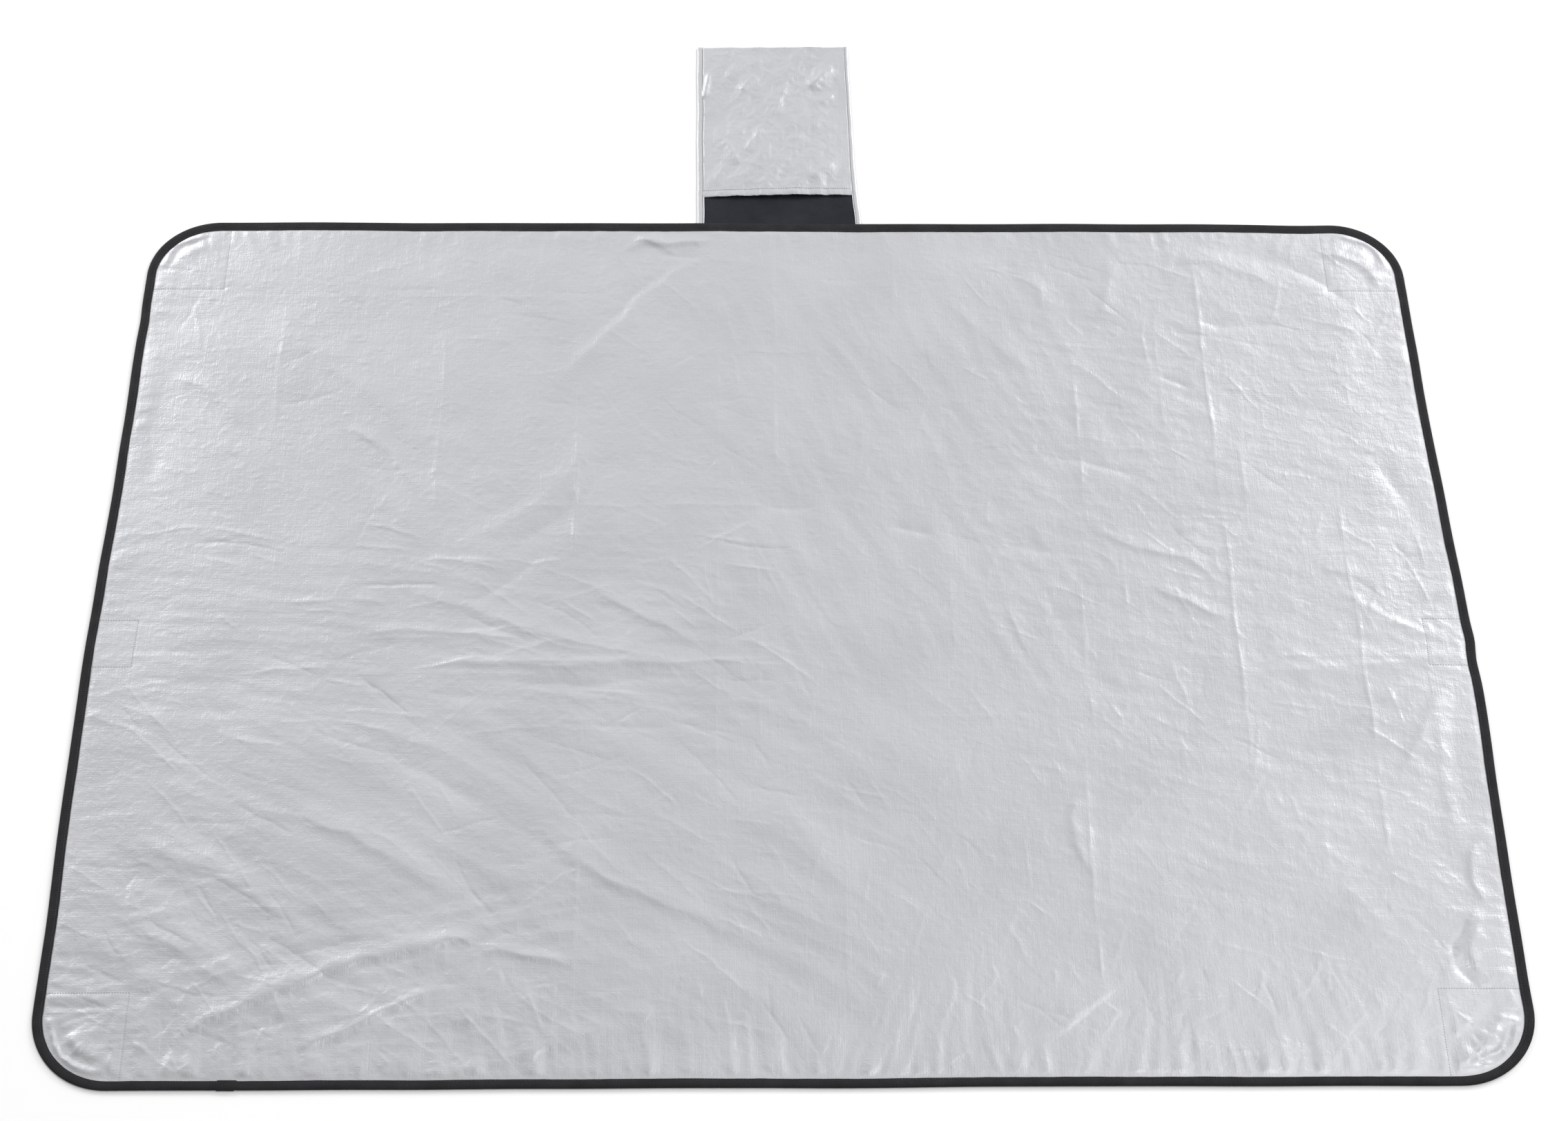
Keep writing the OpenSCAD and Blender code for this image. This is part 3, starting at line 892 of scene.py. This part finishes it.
# rows along the tape, near its inner edge
for side, k in SIDES:
    p = edge_path(0.0108, side, 0.0036)
    wx, wy = warp(p[:, 0], p[:, 1])
    pts = np.stack([wx, wy, np.full_like(wx, (TOP - 0.12) * MM)], -1)
    ob = stitches(f"tape_stitches_{side}", pts, [(0, 0, 1)] * len(pts), M_DARK, 0.0004)
    bend(ob)

# ---------------------------------------------------------------- the pouch
# half its width, its length from the far edge, the mouth's distance and how far its right end is set back
PX, PL = float(pouch_hi[0]), float(pouch_hi[1]) - FAR
MOUTH, SLANT = 0.056, 0.0055
# creases of the front panel: from x, y to x, y, its height and half its width, all in mm
POUCH_CREASES = (
    (-22, 205, -50, 155, 1.5, 8), (18, 300, -2, 235, 1.2, 8), (95, 130, 55, 95, 1.3, 9),
    (105, 345, 60, 300, 1.6, 11), (100, 285, 78, 262, 1.3, 7), (-60, 130, -85, 180, 1.2, 9),
    (-108, 335, -117, 275, 1.8, 6), (-30, 330, -55, 290, 0.9, 8),
)


def pouch_xy(u, t):
    """u from -1 to 1 across the pouch, t along it from the far edge, in metres."""
    share = t / PL
    left = -PX + 0.0005 - 0.0030 * share + 0.0008 * noise(t / 0.07, 0.2, 91)
    right = PX + 0.0015 - 0.0085 * share + 0.0045 * np.exp(-((t / 0.06) ** 2)) \
        + 0.0008 * noise(t / 0.06, 0.9, 92)
    x = left + (right - left) * (u + 1) / 2
    end = 0.0015 * (u + 1) * smooth((share - 0.7) / 0.3)
    return x, FAR + t + end


def pouch_relief(u, t):
    """Height of the front panel above its flat margins, in mm."""
    share = (t - MOUTH) / (PL - MOUTH)
    arch = (1 - np.abs(u) ** 2.2).clip(0, 1)
    rise = 4.6 - 2.9 * smooth(share * 1.2) - 0.9 * smooth((share - 0.8) / 0.2)
    h = rise * arch
    x, y = u * PX * 1000, t * 1000
    c, s = math.cos(1.05), math.sin(1.05)
    a, b = x * c + y * s, -x * s + y * c
    edge = arch.clip(0, 0.6) / 0.6
    h = h + 2.0 * edge * (0.75 * noise(a / 85, b / 26, 93) + 0.55 * (0.3 - np.abs(noise(a / 60, b / 33, 94)))
                          + 0.5 * (0.3 - np.abs(noise(x / 24, y / 30, 95)))
                          + 0.30 * (0.3 - np.abs(noise(x / 11, y / 13, 96))))
    for x0, y0, x1, y1, amp, wd in POUCH_CREASES:
        dx, dy = x1 - x0, y1 - y0
        tt = np.clip(((x - x0) * dx + (y - y0) * dy) / (dx * dx + dy * dy), 0, 1)
        dd = np.hypot(x - x0 - dx * tt, y - y0 - dy * tt)
        h = h + 1.6 * amp * np.exp(-((dd / wd) ** 1.4)) * smooth(tt * (1 - tt) * 4 + 0.3)
    # the mouth's edge ripples a little
    lip = np.exp(-((t - MOUTH) / 0.022) ** 2)
    h = h + lip * (0.9 * noise(u * 7, 0.4, 97) + 0.8 * noise(u * 19, 0.9, 98)) * edge
    return h


def pouch_grid(name, t0, t1, z_of, step=0.0025, u0=-1.0, u1=1.0, flip=False, mouth_slant=0.0):
    us = np.linspace(u0, u1, max(3, int(PX * (u1 - u0) / step)))
    ts = np.linspace(t0, t1, max(3, int((t1 - t0) / step)))
    u, t = np.meshgrid(us, ts)
    t = t + mouth_slant * (u + 1) / 2 * (1 - (t - t0) / (t1 - t0))
    x, y = pouch_xy(u, t)
    return grid_mesh(name, np.stack([x, y, z_of(u, t) * MM], -1), flip=not flip)


def pouch_blend(ob):
    """Bake a piece's placement into its mesh."""
    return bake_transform(ob)


def back_z(u, t):
    return 0.12 + 0.08 * noise(u * 6, t / 0.05, 101)


def lining_z(u, t):
    """A slack cloth with one soft ridge down it."""
    ridge = 0.5 * np.exp(-((u * PX * 1000 - 3) / 1.4) ** 2)
    return 0.85 + 0.16 * noise(u * 5, t / 0.04, 102) + 0.10 * noise(u * 17, t / 0.012, 103) + ridge


def front_z(u, t):
    return np.maximum(1.35 + pouch_relief(u, t), 1.25)


# the lining and front end short of the sides, inside the hems
INNER = 0.985
back = dress(pouch_grid("pouch_back_cloth", -0.004, PL, back_z, 0.002, flip=True), M_POUCH)
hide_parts("pouch_back")
pouch_blend(back)
lining = dress(pouch_grid("pouch_lining_cloth", -0.003, PL - 0.004, lining_z, 0.002, -INNER, INNER),
               M_LINING)
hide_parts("pouch_lining")
pouch_blend(lining)

front = pouch_grid("pouch_front_cloth", MOUTH, PL - 0.001, front_z, 0.0022, -INNER, INNER, mouth_slant=SLANT)
dress(front, M_POUCH)
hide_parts("pouch_front")
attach(front, "pouch")

# the hem of the mouth: the cloth turned under, with a rolled edge towards the blanket
us = np.linspace(-0.93, 0.93, 110)
rows = []
for dep, dz in ((15.5, 0.10), (14.5, 0.42), (13.4, 0.20), (11.0, 0.50), (7.0, 0.62), (3.0, 0.58),
                (0.8, 0.35), (-0.3, -0.1), (0.2, -0.6), (3.0, -0.75), (9.0, -0.6)):
    t = MOUTH + SLANT * (us + 1) / 2 + dep * MM
    x, y = pouch_xy(us, t)
    z = front_z(us, np.maximum(t, MOUTH)) + dz + 0.12 * noise(us * 30, dep / 9, 104)
    rows.append(np.stack([x, y, z * MM], -1))
hem = dress(grid_mesh("pouch_mouth_hem_cloth", np.stack(rows), flip=True), M_POUCH)
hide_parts("pouch_mouth_hem")
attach(hem, "pouch")

# side hems: the back cloth folded over the front along both sides, from the blanket to the top
hem_points = {}
for sx, nm in ((-1, "left"), (1, "right")):
    ts = np.linspace(-0.004, PL, 150)
    rows = []
    # the right hem is narrower and narrows towards the top
    wide, taper = (11.5, 1) if sx < 0 else (9.0, 1 - 0.22 * smooth(ts / PL))
    width = wide * (1 + 0.06 * noise(ts / 0.05, 0.3, 105 + sx)) * taper
    for f, z in ((1.0, 1.35), (1.02, 1.9), (0.93, 2.25), (0.80, 2.0), (0.6, 2.35), (0.3, 2.35),
                 (0.08, 2.0), (0.0, 1.2), (0.03, 0.4), (0.15, 0.1)):
        x, y = pouch_xy(np.full_like(ts, float(sx)), ts)
        x = x - sx * f * width * MM
        zz = z + (0.25 * noise(ts / 0.03, f * 2, 107) + 0.15 * noise(ts / 0.011, f * 3, 108)) * (z > 1.5)
        rows.append(np.stack([x, y, (zz + 0 * x) * MM], -1))
    ob = dress(grid_mesh(f"pouch_side_hem_{nm}", np.stack(rows), flip=sx < 0), M_POUCH)
    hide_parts(f"pouch_hem_{nm}")
    pouch_blend(ob)
    st = np.arange(0.001, PL - 0.002, 0.0036)
    x, y = pouch_xy(np.full_like(st, float(sx)), st)
    w = np.interp(st, ts, width)
    z = 2.15 + 0.25 * noise(st / 0.03, 1.6, 107) + 0.15 * noise(st / 0.011, 2.4, 108)
    hem_points[nm] = np.stack([x - sx * 0.80 * w * MM, y, z * MM], -1)

# the fold at the top, where front and back are one cloth
us = np.linspace(-INNER, INNER, 110)
top_t = np.full_like(us, PL - 0.0016)
rows = []
for k in range(9):
    a = math.pi * k / 8
    x, y = pouch_xy(us, top_t)
    hi = front_z(us, top_t)
    mid, half = (hi + 0.12) / 2, (hi - 0.12) / 2
    rows.append(np.stack([x, y + 0.0018 * math.sin(a), (mid + half * math.cos(a)) * MM], -1))
fold = dress(grid_mesh("pouch_top_fold_cloth", np.stack(rows), flip=False), M_POUCH)
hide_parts("pouch_top_fold")
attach(fold, "pouch")

# stitches of the pouch, along the side hems and across the mouth
for nm, pts in hem_points.items():
    ob = stitches(f"pouch_stitches_{nm}", pts, [(0, 0, 1)] * len(pts), M_THREAD, 0.0006)
    pouch_blend(ob)
us = np.linspace(-0.92, 0.92, 66)
t = MOUTH + SLANT * (us + 1) / 2 + 0.0134
x, y = pouch_xy(us, t)
pts = np.stack([x, y, (front_z(us, t) + 0.35) * MM], -1)
ob = stitches("pouch_stitches_mouth", pts, [(0, 0, 1)] * len(us), M_THREAD, 0.00045)
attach(ob, "pouch")

# ---------------------------------------------------------------- floor, light and camera
bpy.ops.mesh.primitive_plane_add(size=60, location=(0, 0, -0.0006))
floor = bpy.context.object
floor.name = "floor"
fm, nt, p = material("floor")
pale = mix_colour(nt, tex_noise(nt, 3.0, 2, 0.5), (0.93, 0.93, 0.93), (0.94, 0.94, 0.94))
nt.links.new(pale, p.inputs["Base Color"])
p.inputs["Roughness"].default_value = 0.9
floor.data.materials.append(fm)
floor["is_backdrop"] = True

# the room: pale walls, lightest low down and to the right, under a darker ceiling
world = bpy.data.worlds.new("studio")
bpy.context.scene.world = world
world.use_nodes = True
wt = world.node_tree
place = wt.nodes.new("ShaderNodeTexCoord")
slope = wt.nodes.new("ShaderNodeVectorMath")
slope.operation = "DOT_PRODUCT"
slope.inputs[1].default_value = (0.45, 0.30, -0.85)
wt.links.new(place.outputs["Generated"], slope.inputs[0])
level = wt.nodes.new("ShaderNodeMath")
level.operation = "ADD"
level.inputs[1].default_value = 1.25
wt.links.new(slope.outputs["Value"], level.inputs[0])
cap = wt.nodes.new("ShaderNodeMath")
cap.operation = "MINIMUM"
cap.inputs[1].default_value = 0.88
wt.links.new(level.outputs[0], cap.inputs[0])
wt.links.new(cap.outputs[0], wt.nodes["Background"].inputs["Strength"])
wt.nodes["Background"].inputs["Color"].default_value = (1, 1, 1, 1)
bpy.context.scene.view_settings.view_transform = "Standard"


def softbox(name, place, aim, size, power):
    light = bpy.data.lights.new(name, "AREA")
    light.shape, light.size, light.size_y, light.energy = "RECTANGLE", size[0], size[1], power
    ob = bpy.data.objects.new(name, light)
    bpy.context.scene.collection.objects.link(ob)
    ob.location = place
    ob.rotation_euler = (Vector(aim) - Vector(place)).to_track_quat("-Z", "Y").to_euler()
    return ob


# two low lights behind bring out the wrinkles, and a weak one above fills in
softbox("back_right", (5.2, 5.0, 3.2), (0.2, 0, 0), (3.4, 2.2), 290)
softbox("back_left", (-4.6, 5.6, 3.0), (-0.2, 0, 0), (3.0, 1.8), 270)
softbox("top", (2.0, -1.4, 4.6), (0.3, -0.2, 0), (2.4, 2.4), 66)

cam_data = bpy.data.cameras.new("camera")
cam_data.sensor_width, cam_data.lens = 36.0, 64.5
cam_data.clip_start, cam_data.clip_end = 0.1, 60
cam = bpy.data.objects.new("camera", cam_data)
bpy.context.scene.collection.objects.link(cam)
cam.location = (-0.0718, -2.4632, 3.4273)
cam.rotation_euler = (math.radians(34.53), math.radians(-0.84), math.radians(-0.62))
bpy.context.scene.camera = cam

lo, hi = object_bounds()
